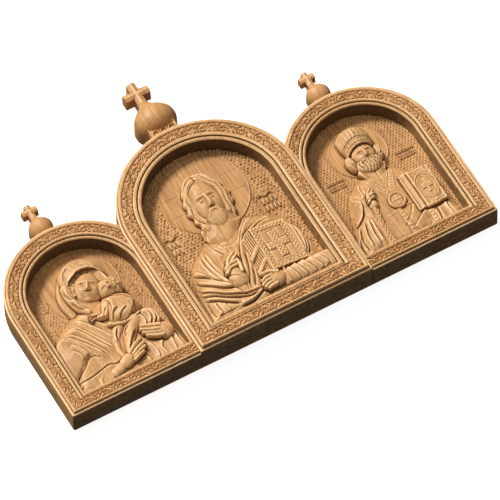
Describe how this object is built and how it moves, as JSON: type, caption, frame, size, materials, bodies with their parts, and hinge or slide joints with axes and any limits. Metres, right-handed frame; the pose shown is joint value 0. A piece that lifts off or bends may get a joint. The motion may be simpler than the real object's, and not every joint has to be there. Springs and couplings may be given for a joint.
{
  "type": "triptych altarpiece",
  "caption": "Carved wooden triptych board with arched niches, relief figures, leafy frame bands and onion domes with crosses on the arches.",
  "frame": {"origin": "on the flat back, under the middle of the whole outline", "axes": "+X across the panels, +Y from the bottom edge towards the crosses, +Z out of the carved face; the board lies on its back"},
  "size_m": [0.4, 0.267, 0.0294],
  "materials": {
    "carved_wood": "satin"
  },
  "bodies": {
    "root": {"carved_triptych": "carved_wood"}
  },
  "joints": []
}
